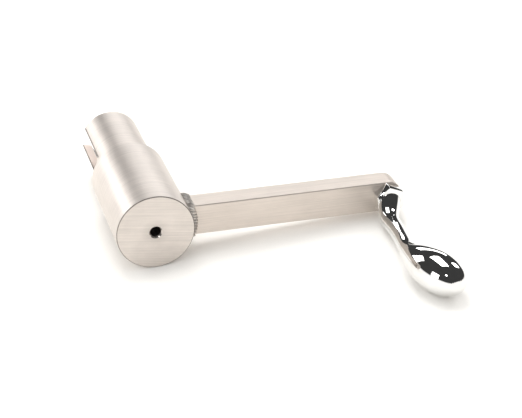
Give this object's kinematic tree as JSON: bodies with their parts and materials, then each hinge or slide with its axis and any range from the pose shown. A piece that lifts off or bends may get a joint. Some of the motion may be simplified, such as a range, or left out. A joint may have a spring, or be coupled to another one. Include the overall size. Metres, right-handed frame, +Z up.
{
  "type": "crank handle",
  "caption": "Welded crank handle: a stepped hub with a blind shaft socket and a pin slot, a flat arm, and a fixed offset grip with an egg-shaped belly.",
  "frame": {"origin": "centre of the socket's mouth at the rear end of the hub, on the shaft's axis", "axes": "+Y out of the socket's mouth along the shaft's axis, +X towards the grip, +Z up from the surface that the crank lies on"},
  "size_m": [0.1746, 0.2242, 0.0444],
  "materials": {
    "hub_steel": "turned and linished satin stainless",
    "arm_steel": "brushed lengthwise, satin stainless",
    "weld_steel": "as welded, rippled, slightly dark",
    "grip_chrome": "polished chrome plate"
  },
  "bodies": {
    "root": {"hub": "hub_steel", "crank_arm": "arm_steel", "weld_bead": "weld_steel", "grip": "grip_chrome"}
  },
  "joints": []
}
